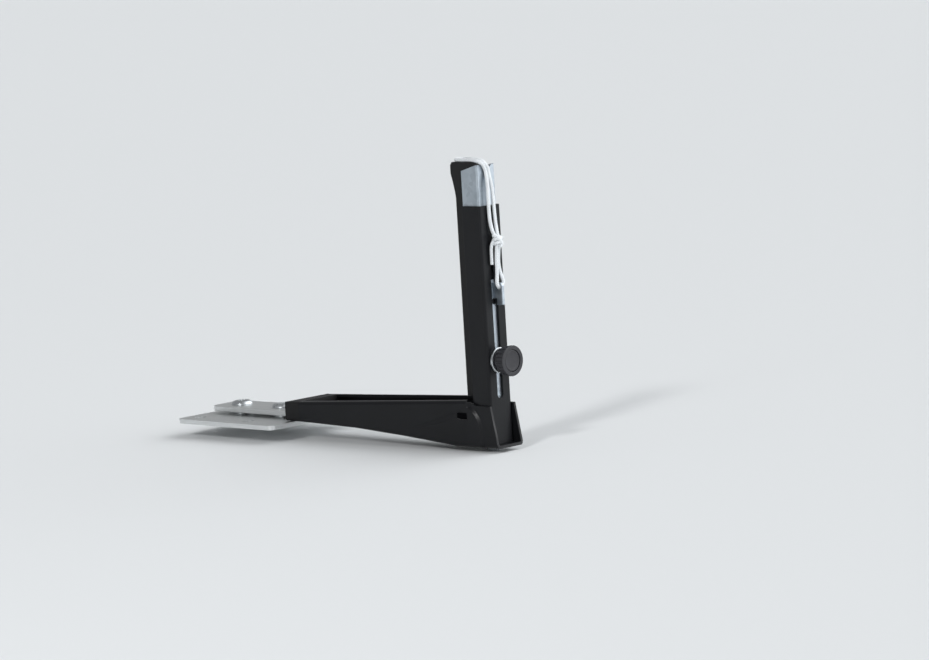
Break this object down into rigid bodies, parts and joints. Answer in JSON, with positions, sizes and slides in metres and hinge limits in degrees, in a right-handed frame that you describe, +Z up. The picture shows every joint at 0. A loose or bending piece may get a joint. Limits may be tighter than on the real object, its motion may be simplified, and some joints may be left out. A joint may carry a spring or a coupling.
{
  "type": "table tennis net clamp",
  "caption": "Arm and post that carry the end of a table tennis net, with a height-adjusting slide, a locking knob and a hook for the net's cord.",
  "frame": {"origin": "centre of the four mounting holes, on the underside of the mounting plate", "axes": "+X along the net line, away from the table; +Y along the table's side edge; +Z up"},
  "size_m": [0.2351, 0.072, 0.1598],
  "materials": {
    "galvanised_steel": "galvanised, satin with faint spangle",
    "black_coated_steel": "black powder coat, satin with fine texture",
    "black_plastic": "moulded, matt",
    "knob_plastic": "moulded, matt, ribbed grip",
    "brass": "turned",
    "white_cord": "braided polyester cord"
  },
  "bodies": {
    "root": {"mounting_plate": "galvanised_steel", "clinch_nuts": "galvanised_steel", "tongue_spacers": "galvanised_steel", "mount_tongue": "galvanised_steel", "tongue_screws": "galvanised_steel", "arm_end_cap": "black_plastic", "arm_channel": "black_coated_steel", "tongue_rivets": "galvanised_steel", "post_channel": "black_coated_steel", "foot_block": "galvanised_steel", "foot_screw": "galvanised_steel", "foot_pin": "black_coated_steel"},
    "mast": {"height_insert": "galvanised_steel", "net_rail": "black_plastic", "rail_rivets": "galvanised_steel", "clamp_bolt": "galvanised_steel", "clamp_plate": "galvanised_steel", "cord_hook": "galvanised_steel", "hook_pin": "galvanised_steel", "cord_strands": "white_cord", "cord_knot": "white_cord", "hook_loop": "white_cord", "cord_tail": "white_cord"},
    "knob_follower": {"knob_washer": "galvanised_steel"},
    "knob": {"lock_knob": "knob_plastic", "knob_bush": "brass", "knob_cap": "knob_plastic"}
  },
  "joints": [
    {"name": "height_slide", "type": "slide", "parent": "root", "child": "mast", "axis": [0, 0, 1], "range_m": [-0.012, 0.008]},
    {"name": "knob_travel", "type": "slide", "parent": "mast", "child": "knob_follower", "axis": [1, 0, 0], "range_m": [0, 0.0014]},
    {"name": "knob_turn", "type": "hinge", "parent": "knob_follower", "child": "knob", "pos_m": [0.2, 0, 0.0417], "axis": [1, 0, 0], "range_deg": [0, 720]}
  ],
  "couplings": [
    {"joint": "knob_turn", "follows": "knob_travel", "rad_per_m": 8976}
  ]
}
